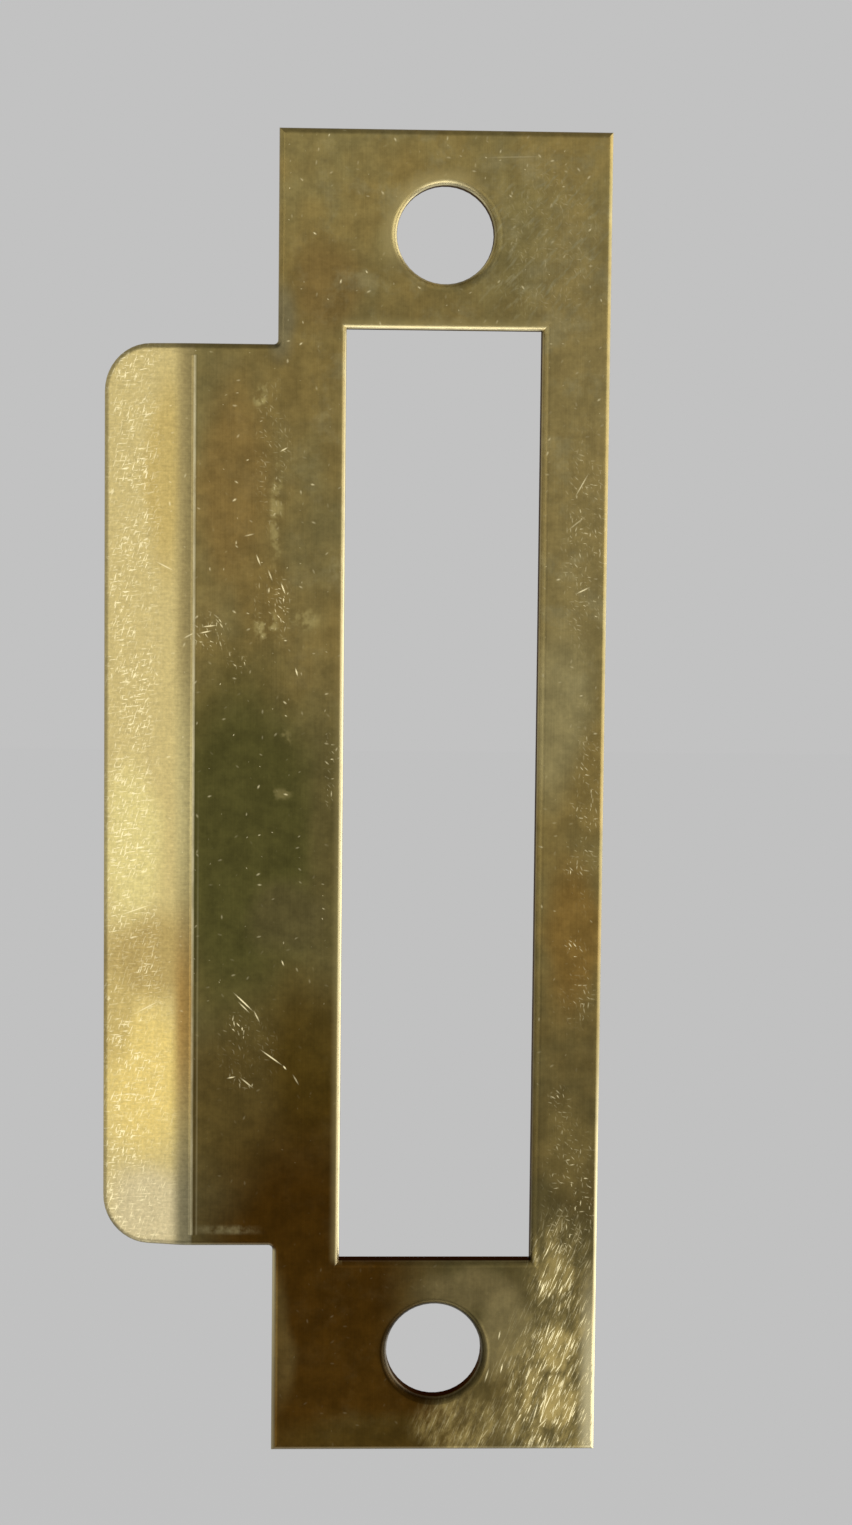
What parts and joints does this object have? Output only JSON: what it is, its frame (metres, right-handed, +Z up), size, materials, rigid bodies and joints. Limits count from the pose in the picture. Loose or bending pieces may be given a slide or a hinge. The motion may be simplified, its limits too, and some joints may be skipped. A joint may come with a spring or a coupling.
{
  "type": "door strike plate",
  "caption": "Flat brass strike plate for a mortise lock, with a tall opening for latch and bolt, plain screw holes at its ends and a lip bent back along a crease.",
  "frame": {"origin": "midway between the two screw holes, on the back face that seats on the door jamb", "axes": "+Z up the length of the plate, -Y out of its front face, -X along the lip, which leans back towards +Y"},
  "size_m": [0.0468, 0.0044, 0.1238],
  "materials": {
    "brass": "buffed, tarnished and scratched"
  },
  "bodies": {
    "root": {"strike_plate": "brass"}
  },
  "joints": []
}
